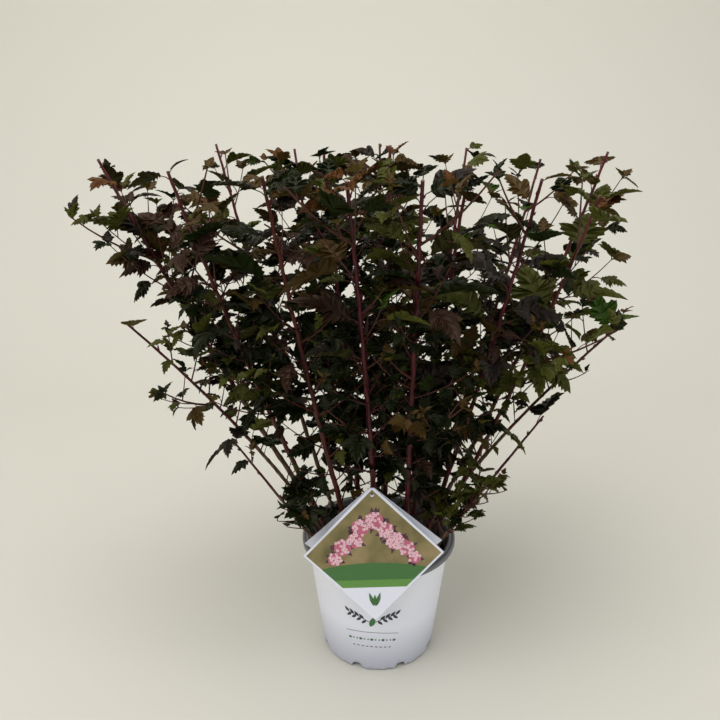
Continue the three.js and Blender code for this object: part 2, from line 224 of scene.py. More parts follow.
def bark(name, dark, light, roughness, scale, relief):
    stops = [(0.32, dark), (0.68, light)]
    return mottled(name, stops, roughness, scale, 4, gloss=0.35, stretch=(1, 1, 0.25), bump=(0.5, relief))


def leaf_paint(name, colour, roughness, gloss, relief):
    material = paint(name, colour, roughness, gloss)
    fill_shader(material, {"Specular Tint": (1, 0.9, 0.7, 1)})
    add_bump(material, add_noise(material, 700, 2), relief, 0.0004)
    return material


# Meshes

def add_mesh(name, points, faces, materials, slots=0, smooth=True):
    """An object in the scene, from points in millimetres."""
    mesh = bpy.data.meshes.new(name)
    mesh.from_pydata(np.asarray(points, dtype=np.float32) * MM, [], np.asarray(faces).tolist())
    mesh.polygons.foreach_set("material_index", np.broadcast_to(slots, len(faces)).astype(np.int32))
    mesh.polygons.foreach_set("use_smooth", np.full(len(faces), smooth))
    mesh.validate()
    for material in materials:
        mesh.materials.append(material)
    return add_object(name, mesh)


def add_piece(name, points, faces, materials, slot, nodes, *look):
    """A mesh that rides on the plant's one body in place of some CAD nodes."""
    piece = add_mesh(name, points, faces, materials, *look)
    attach(piece, "root")
    if nodes:
        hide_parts(*nodes)


class Parts:
    """Points and faces of many small shapes, to be joined into one piece."""

    def __init__(self):
        self.points, self.faces, self.slots, self.count = [], [], [], 0

    def add(self, points, faces, slot=0):
        self.points.append(np.asarray(points, dtype=float))
        self.faces.append(np.asarray(faces, dtype=int) + self.count)
        self.slots.append(np.broadcast_to(slot, len(faces)))
        self.count += len(points)

    def add_piece(self, name, materials, slot, nodes, smooth=True):
        points, faces, slots = (np.concatenate(rows) for rows in (self.points, self.faces, self.slots))
        add_piece(name, points, faces, materials, slot, nodes, slots, smooth)


def unit(vectors):
    return vectors / np.maximum(np.linalg.norm(vectors, axis=-1, keepdims=True), 1e-9)


def square_to(along):
    """Two directions square to each of the ones given."""
    along = np.atleast_2d(along)
    guide = np.where(np.abs(along[:, 2:3]) < 0.9, UP, np.array([0.0, 1.0, 0.0]))
    side = unit(np.cross(guide, along))
    return side, np.cross(side, along)


def away_from(along, turn):
    """The direction square to a stem, at a turn round it."""
    side, across = square_to(along)
    return side[0] * math.cos(turn) + across[0] * math.sin(turn)


def even_turns(count):
    return np.arange(count) * FULL_TURN / count


def ways(turns):
    """Flat directions at some turns."""
    return np.stack([np.cos(turns), np.sin(turns)], axis=-1)


def grid_faces(rows, columns):
    """Quads of rows of points that each run round a ring."""
    low = np.arange(rows - 1)[:, None] * columns + np.arange(columns)
    high = np.arange(rows - 1)[:, None] * columns + (np.arange(columns) + 1) % columns
    return np.stack([low, high, high + columns, low + columns], axis=-1).reshape(-1, 4)


def triangles(quads):
    return np.concatenate([quads[:, [0, 1, 2]], quads[:, [0, 2, 3]]])


def tube(path, radii, sides, capped=False):
    """Points and triangles of a tube along a path. radii has one value a ring, or one a point."""
    path, radii = np.asarray(path, dtype=float), np.asarray(radii, dtype=float)
    side, across = square_to(unit(np.gradient(path, axis=0)))
    turn = even_turns(sides)[:, None]
    offset = side[:, None] * np.cos(turn) + across[:, None] * np.sin(turn)
    radii = (radii[:, None] if radii.ndim == 1 else radii) * np.ones(sides)
    points = (path[:, None] + offset * radii[..., None]).reshape(-1, 3)
    faces = triangles(grid_faces(len(path), sides)[:, ::-1])
    if capped:
        end, here = (len(path) - 1) * sides, np.arange(sides)
        cap = np.stack([np.full(sides, len(points)), end + (here + 1) % sides, end + here], -1)
        points, faces = np.concatenate([points, path[-1:]]), np.concatenate([faces, cap])
    return points, faces


class Curve:
    """A bow with one bend."""

    def __init__(self, start, bend, end):
        self.start, self.bend, self.end = start, bend, end

    def at(self, t):
        t = np.atleast_1d(t)[:, None]
        return (1 - t) ** 2 * self.start + 2 * t * (1 - t) * self.bend + t ** 2 * self.end

    def slope(self, t):
        t = np.atleast_1d(t)[:, None]
        return unit((1 - t) * (self.bend - self.start) + t * (self.end - self.bend))


# The rule of growth, as in the part's source

def seeded_numbers(seed):
    state = seed

    def draw():
        nonlocal state
        state = (state + 0x6D2B79F5) & 0xFFFFFFFF
        mixed = ((state ^ (state >> 15)) * (state | 1)) & 0xFFFFFFFF
        mixed ^= (mixed + ((mixed ^ (mixed >> 7)) * (mixed | 61))) & 0xFFFFFFFF
        return (mixed ^ (mixed >> 14)) / 4294967296

    return draw


def vary(number, share):
    return 1 + share * (2 * number - 1)


class Cane(Curve):
    def __init__(self, index, row):
        self.index = index
        self.name, foot, tip, lean, self.radius, self.bare, self.leaf = row
        foot, tip = np.array([*foot, MIX.level + MIX.clear], dtype=float), np.array(tip, dtype=float)
        middle = foot[:2] + (tip[:2] - foot[:2]) * lean
        super().__init__(foot, np.array([*middle, (MIX.level + tip[2]) / 2]), tip)
        steps = np.diff(self.at(np.linspace(0, 1, 201)), axis=0)
        self.length = np.linalg.norm(steps, axis=1).sum()
        samples = self.at(np.linspace(0, 1, SPACE.samples + 1))
        first_leafy = math.floor(SPACE.samples * self.bare + 0.5)
        self.bare_samples, self.leafy_samples = samples[: first_leafy + 1], samples[first_leafy:]

    def radius_at(self, t):
        flare = (CANE.flare - 1) * np.maximum(0, 1 - t * self.length / CANE.flare_length)
        return self.radius * (1 - CANE.taper * t + flare)


canes = [Cane(index, row) for index, row in enumerate(CANES)]


def nearest(samples, points):
    return np.linalg.norm(points[:, None] - samples[None], axis=-1).min(axis=1)


def crown_share(points):
    """How far out towards the crown's edge each point lies, from 0 to 1."""
    across = (points[:, :2] - CROWN.middle) / CROWN.half
    growth = CROWN.foot_share + (points[:, 2] - CROWN.floor) * CROWN.share_per_mm
    return np.hypot(across[:, 0], across[:, 1]) / np.minimum(1, np.maximum(growth, 0.05))


def inside_crown(points):
    high = (points[:, 2] > CROWN.floor) & (points[:, 2] < CROWN.top)
    return high & (crown_share(points) < 1)


def clear_of_label(points):
    low = points[:, 2] < LABEL.fold[1] + LABEL.clear_above
    within = np.abs(points[:, 0] - LABEL.middle[0]) < LABEL.half + LABEL.clear_beside
    return ~(low & within & (points[:, 1] < LABEL.clear_behind - LABEL.back))


def in_own_space(points, cane):
    if not (inside_crown(points) & clear_of_label(points)).all():
        return False
    own = nearest(cane.leafy_samples, points) + SPACE.between
    others = [nearest(other.leafy_samples, points) for other in canes if other is not cane]
    return bool((np.min(others, axis=0) > own).all())


def clear_of_canes(points):
    gap = TWIG.radius + SPACE.round
    return all((nearest(cane.bare_samples, points) > cane.radius + gap).all() for cane in canes)


class Shoot(Curve):
    """A twig. It leaves its stem flatter than it ends."""

    def __init__(self, start, heading, length, lift, radius):
        end = start + heading * length + UP * length * lift
        super().__init__(start, (start + end) / 2 - UP * length * WOOD.sag, end)
        self.radius, self.length = radius, np.linalg.norm(end - start)


def grow_twig(cane, share, order, draw):
    t = cane.bare + (1 - cane.bare) * share
    along = cane.slope(t)[0]
    turn = TURN.first + TURN.apart * order + TURN.play * (2 * draw() - 1)
    outward = away_from(along, math.radians(turn))
    angle = math.radians(TWIG.angle_low + (TWIG.angle_high - TWIG.angle_low) * share)
    heading = along * math.cos(angle) + outward * math.sin(angle)
    longest = TWIG.length * (1 - TWIG.shortening * share) * vary(draw(), TWIG.spread)
    for part in TWIG.lengths:
        shoot = Shoot(cane.at(t)[0], heading, longest * part, TWIG.lift, WOOD.twig)
        points = shoot.start + (shoot.end - shoot.start) * np.linspace(0, 1, 7)[2:, None]
        if in_own_space(points, cane) and clear_of_canes(points):
            return shoot
    return None


def grow_twigs(cane):
    """The twigs of the part's source, from the same seed."""
    draw = seeded_numbers(SEED + cane.index)
    count = max(3, math.floor(cane.length * (1 - cane.bare) / (TWIG.every * cane.leaf) + 0.5))
    first_side = math.floor(3 * draw())
    shares = [TWIG.start + (TWIG.end - TWIG.start) * i / (count - 1) for i in range(count)]
    twigs = [grow_twig(cane, share, first_side + i, draw) for i, share in enumerate(shares)]
    return [twig for twig in twigs if twig is not None]


# The same rule carried on: finer twigs within the crown's reach

LEAF_SEED = SEED + 50
# Foot radii of the three orders of twigs, and how far a twig sags in its middle
WOOD = Sizes(twig=1.15, fine=0.75, sub=0.6, sag=0.13)
# Short spreading twigs low in the crown, and longer upright ones, half as many, near its top
SHORT = Sizes(length=40, spread=0.4, angle=56, lift=0.22)
TALL = Sizes(length=62, spread=0.3, angle=33, lift=0.12)
FINE = Sizes(every=10, start=0.08, end=0.96, foot_size=0.7)
SUB = Sizes(every=17, length=26, spread=0.35, angle=50, lift=0.22, start=0.2, end=0.9, open_from=340)
ANGLE_PLAY = 0.2
# The lengths that a shoot is tried at, and those that a first twig is cut back to
LENGTHS = (1, 0.7, 0.5)
CUT_BACK = (1, 0.85, 0.7, 0.55)
SHORTEST = 0.5
# By level: the share of tall shoots, and the share of all shoots on a cane that grow
TALL_SHARE = ((300, 390), (0.0, 1.0))
FINE_KEPT = ((120, 165, 215, 380, 460), (0.3, 0.6, 1.0, 1.0, 0.75))
TWIG_KEPT = 0.3
# The crown's half width to each side at some levels. Sprays thin out towards it, little by little low down
# and all at once higher up.
LEVELS = (154, 197, 238, 278, 316, 352, 405, 478)
WIDTHS = dict(left=(80, 87, 112, 157, 181, 208, 275, 296), right=(98, 106, 126, 150, 166, 228, 285, 260))
LOW_FADE = ((0.26, 0.62, 0.95, 1.08), (1.0, 0.34, 0.12, 0.05))
HIGH_FADE = ((0.74, 0.97, 1.08), (1.0, 0.26, 0.04))
FADE_LEVELS = (250, 300)
# The lowest canes keep all their sprays, which hide the feet of the others.
FULL_CANES = {"left_lowest", "right_lowest"}
# Canes with more shoots than the rest, by the share of the usual distance between them
CROWDED = {"left_lowest": 0.3, "right_lowest": 0.32, "left": 0.4, "left_front": 0.75, "left_low": 0.8}
# How far out leaves may stand, as a share of the crown: a little past the source's masses at their foot
EDGE = ((200, 260, 380), (1.08, 0.97, 1.0))
LOW_REACH = Sizes(level=215, share=1.06)
CARD_ROOM = 13
LEAF_ROOM = 9
RIM_GAP = Sizes(level=146, radius=46)
# The pruned top is uneven, lies a little lower towards the back, and is thinner to the right.
CEILING = Sizes(level=481, slope=0.095, wave=9, across=19, deep=27, proud=6)
TOP_KEPT = ((-200, -168, -132, -105, 30, 65, 110, 170, 230), (0.5, 0.4, 0.2, 0.9, 0.9, 0.2, 0.4, 0.1, 0.6))
TOP_LEVELS = dict(left=(425, 445), right=(365, 430))


def clear_of_card(points):
    """Behind the label, or outside its diamond outline."""
    x, y, z = points.T
    off = np.abs(x - LABEL.middle[0]) + np.abs(z - LABEL.middle[1])
    return (off > LABEL.half + CARD_ROOM) | (y > LABEL.clear_behind - LABEL.back)


def in_reach(points):
    """Inside the crown, under its pruned top, and clear of the label and the rim."""
    x, y, z = points.T
    above_rim = (z > RIM_GAP.level) | (np.hypot(x, y) < RIM_GAP.radius)
    wave = CEILING.wave * np.sin(-x / CEILING.across) * np.cos(y / CEILING.deep)
    ceiling = CEILING.level + wave - CEILING.slope * y
    under_top = z < np.minimum(CROWN.top + CEILING.proud, ceiling)
    inside = (z > CROWN.floor) & (crown_share(points) < np.interp(z, *EDGE))
    narrow_foot = (z > LOW_REACH.level) | (side_share(points) < LOW_REACH.share)
    return bool((inside & narrow_foot & clear_of_card(points) & above_rim & under_top).all())


def side_share(points):
    """How far out to its side each point stands, from 0 to about 1."""
    x, _, z = points.T
    left, right = (np.interp(z, LEVELS, WIDTHS[side]) for side in ("left", "right"))
    return np.abs(x) / np.where(x < 0, left, right)


def kept_share(point):
    """The share of sprays that grow at a point: fewer far out to the sides, and at the top right."""
    x, _, z = point
    side = side_share(point)
    side_kept = np.interp(z, FADE_LEVELS, (np.interp(side, *LOW_FADE), np.interp(side, *HIGH_FADE)))
    levels = TOP_LEVELS["left" if x < 0 else "right"]
    return side_kept * np.interp(z, levels, (1.0, np.interp(x, *TOP_KEPT)))


def grow_shoot(cane, stem, t, turn, rule, scale, radius, rng):
    """A shoot on a cane or on its twig: the longest of three lengths that stays in reach, or None."""
    along = stem.slope(t)[0]
    angle = math.radians(rule.angle * vary(rng.random(), ANGLE_PLAY))
    heading = along * math.cos(angle) + away_from(along, turn) * math.sin(angle)
    longest = rule.length * scale * vary(rng.random(), rule.spread)
    for part in LENGTHS:
        shoot = Shoot(stem.at(t)[0], heading, longest * part, rule.lift, radius)
        if in_reach(shoot.at([0.5, 1.0]) + UP * LEAF_ROOM):
            kept = 1 if cane.name in FULL_CANES else kept_share(shoot.end)
            return shoot if rng.random() < kept else None
    return None


def cut_back(twig):
    """Cuts a twig of the source's rule back to where its leaves keep in reach."""
    part = next((part for part in CUT_BACK if in_reach(twig.at(part) + UP * LEAF_ROOM)), SHORTEST)
    twig.bend, twig.end = twig.start + (twig.bend - twig.start) * part, twig.at(part)[0]
    twig.length *= part


def grow_fine_twigs(cane, rng):
    """Pairs of a shoot on the cane itself and its rule, SHORT or TALL."""
    pairs = []
    count = int(cane.length / (FINE.every * CROWDED.get(cane.name, cane.leaf)))
    for i in range(count):
        t = FINE.start + (FINE.end - FINE.start) * i / count
        level = cane.at(t)[0][2]
        rule = TALL if rng.random() < np.interp(level, *TALL_SHARE) else SHORT
        if cane.name in FULL_CANES:
            rule = SHORT
        elif rng.random() > np.interp(level, *FINE_KEPT) or (rule is TALL and i % 2):
            continue
        scale = cane.leaf * (FINE.foot_size if t < cane.bare else 1)
        shoot = grow_shoot(cane, cane, t, i * GOLDEN + cane.index, rule, scale, WOOD.fine, rng)
        if shoot is not None:
            pairs.append((shoot, rule))
    return pairs


def grow_sub_twigs(cane, twig, rng):
    """Short shoots along a twig, fewer where the canes rise out of the dense part."""
    count = int(twig.length * (1 - SUB.start) / (SUB.every * cane.leaf))
    shares = [SUB.start + (SUB.end - SUB.start) * i / max(count, 1) for i in range(count)]
    shares = shares if twig.end[2] < SUB.open_from else shares[::2]
    shoots = [
        grow_shoot(cane, twig, t, i * GOLDEN + cane.index, SUB, cane.leaf, WOOD.sub, rng)
        for i, t in enumerate(shares)
    ]
    return [shoot for shoot in shoots if shoot is not None]


# Leaves: three pointed lobes with a toothed edge, pleated between the veins and folded along the midrib

HALF_EDGE = [
    (0.00, 0.00), (0.02, 0.13), (0.08, 0.24), (0.12, 0.22), (0.19, 0.36), (0.23, 0.34), (0.32, 0.47),
    (0.36, 0.45), (0.5, 0.54), (0.49, 0.44), (0.55, 0.41), (0.5, 0.31), (0.51, 0.22), (0.6, 0.27),
    (0.62, 0.22), (0.72, 0.25), (0.74, 0.18), (0.84, 0.17), (0.86, 0.1), (1.00, 0.00),
]
TOOTH_TIPS = {2, 4, 6, 8, 10, 13, 15, 17}
SIMPLE_EDGE = [
    (0.00, 0.00), (0.04, 0.2), (0.18, 0.36), (0.22, 0.33), (0.42, 0.52), (0.46, 0.4), (0.5, 0.27),
    (0.64, 0.29), (0.66, 0.2), (0.82, 0.18), (0.84, 0.11), (1.00, 0.00),
]
SIMPLE_TIPS = {2, 4, 7, 9}
MIDRIB = np.array([0.0, 0.14, 0.3, 0.48, 0.66, 0.84, 1.0])
VEIN_LEAN, RING, LEAF_THICK, SIDE_ARCH = 0.7, 0.55, 0.012, 0.4
# How far a pleat lifts the ring inside the edge, and the edge: at a tooth's tip and elsewhere
RING_PLEAT, EDGE_PLEAT = (-0.4, 1.0), (-1.0, 0.5)


def fan(ribs, row, start):
    """Triangles between the midrib and a row of points that starts at an index."""
    faces = []
    for i in range(len(row) - 1):
        faces.append((ribs[i], start + i, start + i + 1))
        faces += [(rib, start + i + 1, rib + 1) for rib in range(ribs[i], ribs[i + 1])]
    faces += [(rib, start + len(row) - 1, rib + 1) for rib in range(ribs[-1], len(MIDRIB) - 1)]
    return faces


def leaf_template(edge, tips, ringed, arch, fold, pleat, wide, twist):
    """Points, upper faces and lower faces of a leaf of length 1 that lies along +X."""
    def point(x, y, pleated):
        lift = fold * abs(y) - arch * x * x - SIDE_ARCH * arch * (2 * y) ** 2 + twist * x * y
        return x, y, lift + pleated * pleat

    inner = edge[1:-1]
    last = len(inner) - 1
    valleys = [int(i not in tips) for i in range(1, len(edge) - 1)]
    ribs = [int(np.abs(MIDRIB - VEIN_LEAN * x).argmin()) for x, _ in inner]
    points, upper, lower = [point(x, 0.0, 0.0) for x in MIDRIB], [], []
    for sign in (1, -1):
        ring = len(points)
        if ringed:
            for (x, y), rib, valley in zip(inner, MIDRIB[ribs], valleys):
                points.append(point(rib + RING * (x - rib), sign * wide * RING * y, RING_PLEAT[valley]))
        rim = len(points)
        points += [point(x, sign * wide * y, EDGE_PLEAT[valley]) for (x, y), valley in zip(inner, valleys)]
        under = fan(ribs, inner, rim)
        over = fan(ribs, inner, ring)
        if ringed:
            for i in range(last):
                over += [(ring + i, rim + i, rim + i + 1), (ring + i, rim + i + 1, ring + i + 1)]
            over += [(0, rim, ring), (rim + last, len(MIDRIB) - 1, ring + last)]
        upper += [face[::-sign] for face in over]
        lower += [face[::sign] for face in under]
    points, lower = np.array(points), np.array(lower)
    below = points[: len(MIDRIB)] - np.array([0, 0, LEAF_THICK])
    lower = np.where(lower < len(MIDRIB), lower + len(points), lower)
    return np.concatenate([points, below]), np.array(upper), lower


# Each shape: arch, fold, pleat, width and twist
LARGE_SHAPES = [
    (0.24, 0.34, 0.04, 0.96, 0.00), (0.34, 0.46, 0.046, 0.88, 0.12), (0.16, 0.28, 0.036, 1.02, -0.14),
    (0.44, 0.4, 0.044, 0.92, 0.2), (0.3, 0.6, 0.048, 0.86, -0.22), (0.2, 0.16, 0.04, 1.00, 0.1),
]
SMALL_SHAPES = [(0.26, 0.4, 0.05, 0.92, 0.1), (0.16, 0.25, 0.05, 1.0, -0.12), (0.36, 0.5, 0.05, 0.86, 0.0)]
TEMPLATES = [leaf_template(HALF_EDGE, TOOTH_TIPS, True, *shape) for shape in LARGE_SHAPES]
TEMPLATES += [leaf_template(SIMPLE_EDGE, SIMPLE_TIPS, False, *shape) for shape in SMALL_SHAPES]
LARGE, SMALL = (0, len(LARGE_SHAPES)), (len(LARGE_SHAPES), len(TEMPLATES))

# Tones of the foliage: upper face and lower face
TONES = {
    "slate": ((0.017, 0.0124, 0.0108), (0.032, 0.031, 0.009)),
    "plum": ((0.029, 0.012, 0.0074), (0.053, 0.033, 0.009)),
    "bronze": ((0.056, 0.0315, 0.0068), (0.086, 0.065, 0.012)),
    "moss": ((0.004, 0.0078, 0.001), (0.01, 0.018, 0.0022)),
    "olive": ((0.048, 0.053, 0.007), (0.085, 0.093, 0.016)),
    "copper": ((0.082, 0.029, 0.005), (0.085, 0.042, 0.008)),
    "fresh": ((0.032, 0.072, 0.008), (0.08, 0.13, 0.022)),
}
# The tone of most sprays on the lowest canes
LOW_TONES = {"left_lowest": "moss", "right_lowest": "olive"}
LOW_TONE_SHARE = 0.6
# Where the right of the crown begins, and how much light its sides get at some shares of its height
RIGHT_FROM = 70
SIDE_LIGHT = ((0.15, 0.45), (0.0, 0.6))


def add_leaves(tone, leaves, masses):
    """One piece of all leaves of a tone, shape by shape."""
    parts = Parts()
    for index, (shape, upper, lower) in enumerate(TEMPLATES):
        lot = [leaf[:4] for leaf in leaves if leaf[4] == index]
        if not lot:
            continue
        root, heading, face, size = (np.array(column) for column in zip(*lot))
        axes = np.stack([heading, np.cross(face, heading), face], axis=1)
        points = root[:, None] + size[:, None, None] * (shape @ axes)
        first = np.arange(len(lot))[:, None, None] * len(shape)
        over, under = ((side + first).reshape(-1, 3) for side in (upper, lower))
        slots = np.repeat([0, 1], [len(over), len(under)])
        parts.add(points.reshape(-1, 3), np.concatenate([over, under]), slots)
    light, dark = TONES[tone]
    materials = [
        leaf_paint(f"leaf_upper_{tone}", light, 0.44, 0.2, 0.5),
        leaf_paint(f"leaf_under_{tone}", dark, 0.65, 0.12, 0.7),
    ]
    parts.add_piece(f"leaves_{tone}_1", materials, "leaves", masses, smooth=False)


def pick_tone(points, rng, young=False):
    """The tone of a spray from where it stands in the crown, dark where shaded and light where lit: partly
    painted shade.
    """
    middle = points.mean(axis=0)
    height = np.clip((middle[2] - MIX.level) / (CROWN.top - MIX.level), 0, 1)
    right = float(middle[0] > RIGHT_FROM)
    side = np.interp(height, *SIDE_LIGHT) * side_share(middle) ** 1.5
    lit = min(1.0, 0.7 * height ** 2 + side)
    # Painted shade and light: near-black moss where the crown is shaded and lighter tones where it is lit,
    # over the leaves' own tones.
    # The extra bronze and olive on the right is partly painted light there.
    weights = {
        "slate": 0.15 + 0.6 * lit,
        "plum": 0.1 + 0.6 * lit * (1 - right),
        "bronze": 0.05 + (0.8 + 0.8 * right) * lit * lit + 0.6 * young,
        "moss": 2.6 * (1 - lit) + 0.1,
        "olive": 0.15 + 0.7 * right + 0.7 * lit,
        "copper": 0.45 if young and lit > 0.6 else 0.0,
        "fresh": 0.04 + 0.12 * right,
    }
    chances = np.array(list(weights.values()))
    return list(weights)[rng.choice(len(weights), p=chances / chances.sum())]


# Some canes stay in view from the front, so few leaves hang before them: half width and foot of the strip
OPEN_CANES = {
    "front_left": (8, 130), "front_right": (7, 290),
    "front_outer_left": (6, 150), "front_outer_right": (5, 370),
}
STRIP_CLEARED = 0.9


class ClearStrip:
    """The strip before a cane, as it is seen from the front."""

    def __init__(self, cane, half_width, foot):
        path = cane.at(np.linspace(0, 0.97, 120))
        path = path[path[:, 2] > foot]
        self.half_width, self.levels = half_width, path[:, 2]
        self.depth = path[:, 1] + CAMERA.ahead
        self.bearing = (path[:, 0] - CAMERA.side) / self.depth

    def row_at(self, level):
        return np.searchsorted(self.levels, level).clip(0, len(self.levels) - 1)

    def holds(self, points):
        depth = points[:, 1] + CAMERA.ahead
        row = self.row_at(points[:, 2])
        level = CAMERA.height - (CAMERA.height - points[:, 2]) * self.depth[row] / depth
        row = self.row_at(level)
        off = np.abs((points[:, 0] - CAMERA.side) / depth - self.bearing[row]) * self.depth[row]
        seen = (level > self.levels[0]) & (level < self.levels[-1]) & (depth < self.depth[row])
        return bool((seen & (off < self.half_width)).any())


strips = [ClearStrip(cane, *OPEN_CANES[cane.name]) for cane in canes if cane.name in OPEN_CANES]

# Leaves by where they grow: blade, stalk, distance between nodes, least and greatest lift, and shapes
ON_CANE = Sizes(blade=36, stalk=13, gap=19, lift=(-0.25, 0.35), shapes=LARGE)
ON_TWIG = Sizes(blade=28, stalk=9, gap=14, lift=(-0.35, 0.28), shapes=LARGE)
ON_TALL = Sizes(blade=28, stalk=8, gap=15.5, lift=(-0.4, 0.35), shapes=LARGE)
ON_FINE = Sizes(blade=16, stalk=4.5, gap=7.5, lift=(-0.5, 0.15), shapes=SMALL)
# Sizes of leaves against these, on each kind of shoot
SUB_SIZE, SHORT_SIZE, FINE_SIZE, LEAST_TALL_SIZE, OPEN_SIZE = 1.1, 0.75, 0.95, 0.85, 1.15
STALK = Sizes(onward=0.8, upward=0.12, play=0.3, bow=0.1, joint=0.6, radii=(0.5, 0.4, 0.36), sides=4)
BLADE = Sizes(outward=0.9, onward=0.5, roll=0.65, play=0.25, sideways_play=(-0.7, 0.3))
# Leaves hang lower near the foot of the crown.
DROOP = ((200, 320), (0.4, 0.0))
# The share of the short shoots that carry fewer and larger leaves
LARGE_LEAVED = 0.22
# Leaf sizes along a shoot, along a cane, at a shoot's end and below a cane's cut tip, and the least share of
# them that is kept where the crown is thin
SHOOT = Sizes(sparse=0.35, first=0.4, last=0.97, sizes=((0, 0.6, 1), (0.95, 1.0, 0.62)), rings=6, sides=5)
ALONG_CANE = Sizes(
    first=0.03, last=0.975, sizes=((0, 0.45, 0.75, 1), (0.6, 1.0, 0.95, 0.7)), spray=4, young=0.8,
    least=0.15,
)
TIP = Sizes(shares=np.array([0.97, 0.99, 1.0]), sizes=np.array([0.5, 0.42, 0.34]))
TOP = Sizes(
    shares=np.array([0.935, 0.95, 0.965, 0.98, 0.992]), sizes=np.array([1.15, 1.1, 1.0, 0.85, 0.6]),
    least=0.3,
)


class Plant:
    """The leaves by tone, their stalks and the twigs, grown cane by cane."""

    def __init__(self):
        self.rng = np.random.default_rng(LEAF_SEED)
        self.leaves = {tone: [] for tone in TONES}
        self.stalks, self.twigs = Parts(), Parts()
        self.usual = None

    def tone_at(self, points, young=False):
        if self.usual and self.rng.random() < LOW_TONE_SHARE:
            return self.usual
        return pick_tone(points, self.rng, young)

    def kept(self, cane, shares, least):
        """Which of some places on a cane keep their leaf."""
        return [self.rng.random() < least + (1 - least) * kept_share(point) for point in cane.at(shares)]

    def add_leaf(self, root, along, turn, size, kind, tone):
        """A leaf on its stalk. Returns whether it had room."""
        rng, outward = self.rng, away_from(along, turn)
        stalk = kind.stalk * size / kind.blade * vary(rng.random(), STALK.play)
        base = root + unit(outward + STALK.onward * along + STALK.upward * UP) * stalk
        lift = rng.uniform(*kind.lift) - np.interp(root[2], *DROOP)
        heading = unit(BLADE.outward * outward + BLADE.onward * along + lift * UP)
        level = unit(np.cross(heading, UP))
        roll = rng.uniform(-BLADE.roll, BLADE.roll)
        face = unit(np.cross(level, heading) * math.cos(roll) + level * math.sin(roll))
        reach = np.array([base, base + heading * size * 0.5, base + heading * size])
        if not in_reach(reach):
            return False
        if rng.random() < STRIP_CLEARED and any(strip.holds(reach) for strip in strips):
            return False
        self.leaves[tone].append((base, heading, face, size, int(rng.integers(*kind.shapes))))
        middle = (root + base) / 2 + UP * STALK.bow * stalk
        path = [root, middle, base + heading * STALK.joint]
        self.stalks.add(*tube(path, STALK.radii, STALK.sides))
        return True

    def leaf_along(self, stem, shares, sizes, kind, tone, sideways=False):
        """Adds leaves at some shares of a stem's length. Returns the shares where one had room."""
        turn, leafy = self.rng.random() * FULL_TURN, []
        for order, (t, size) in enumerate(zip(shares, sizes)):
            size = size * vary(self.rng.random(), BLADE.play)
            angle = turn + order * GOLDEN
            if sideways:
                angle = math.pi * order + self.rng.uniform(*BLADE.sideways_play)
            if self.add_leaf(stem.at(t)[0], stem.slope(t)[0], angle, size, kind, tone):
                leafy.append(t)
        return leafy

    def add_shoot(self, shoot, kind, scale, least=0.0):
        """Leaves along a shoot, and its wood as far as the last of them or to a least share."""
        gap = kind.gap * scale / np.interp(kept_share(shoot.end), (0, 1), (SHOOT.sparse, 1))
        count = max(2, int(shoot.length / gap))
        shares = np.linspace(min(SHOOT.first, gap / shoot.length), SHOOT.last, count)
        sizes = kind.blade * scale * np.interp(shares, *SHOOT.sizes)
        leafy = self.leaf_along(shoot, shares, sizes, kind, self.tone_at(shoot.at([0.5, 1.0])))
        leafy += self.add_tip(shoot, kind.blade * scale)
        end = max([least, *leafy])
        if end > 0:
            steps = np.linspace(0, end, SHOOT.rings)
            self.twigs.add(*tube(shoot.at(steps), shoot.radius * (1 - 0.5 * steps), SHOOT.sides))

    def add_tip(self, shoot, blade):
        """The youngest leaves, small and nearly upright, round the end of a shoot."""
        tone = self.tone_at(shoot.at([1.0]), young=True)
        kind = Sizes(blade=blade, stalk=2.5, lift=(0.15, 0.9), shapes=SMALL)
        return self.leaf_along(shoot, TIP.shares, TIP.sizes * blade, kind, tone)

    def leaf_cane(self, cane):
        """Leaves on the cane itself, largest half way up, none on the cut tip."""
        gap = ON_CANE.gap * cane.leaf / cane.length
        all_shares = np.arange(cane.bare + ALONG_CANE.first, ALONG_CANE.last, gap)
        sideways = cane.name in OPEN_CANES
        blade = ON_CANE.blade * cane.leaf * (OPEN_SIZE if sideways else 1)
        for start in range(0, len(all_shares), ALONG_CANE.spray):
            shares = all_shares[start : start + ALONG_CANE.spray]
            along = (shares - cane.bare) / (1 - cane.bare)
            tone = self.tone_at(cane.at(shares), young=along[0] > ALONG_CANE.young)
            kept = self.kept(cane, shares, ALONG_CANE.least)
            sizes = blade * np.interp(along, *ALONG_CANE.sizes)
            self.leaf_along(cane, shares[kept], sizes[kept], ON_CANE, tone, sideways)

    def crown_cane(self, cane):
        """The last leaves below the cut tip stand out all round."""
        tone = self.tone_at(cane.at([0.95, 1.0]), young=True)
        kept = self.kept(cane, TOP.shares, TOP.least)
        self.leaf_along(cane, TOP.shares[kept], ON_TALL.blade * TOP.sizes[kept], ON_TALL, tone)

    def grow(self, cane):
        full = cane.name in FULL_CANES
        self.usual = LOW_TONES.get(cane.name)
        for twig in grow_twigs(cane):
            if not full and self.rng.random() > TWIG_KEPT + (1 - TWIG_KEPT) * kept_share(twig.end):
                continue
            cut_back(twig)
            subs = grow_sub_twigs(cane, twig, self.rng)
            self.add_shoot(twig, ON_TWIG, cane.leaf, SUB.end if subs else 0.0)
            for sub in subs:
                low = sub.end[2] < SUB.open_from
                kind, scale = (ON_FINE, SUB_SIZE) if low else (ON_TALL, SHORT_SIZE)
                self.add_shoot(sub, kind, cane.leaf * scale)
        for shoot, rule in grow_fine_twigs(cane, self.rng):
            if rule is TALL:
                self.add_shoot(shoot, ON_TALL, max(cane.leaf, LEAST_TALL_SIZE))
            elif full or self.rng.random() < LARGE_LEAVED:
                self.add_shoot(shoot, ON_TALL, SHORT_SIZE)
            else:
                self.add_shoot(shoot, ON_FINE, FINE_SIZE)
        self.leaf_cane(cane)
        self.crown_cane(cane)


# Canes: crimson young bark, and tan old bark on the lower part of some

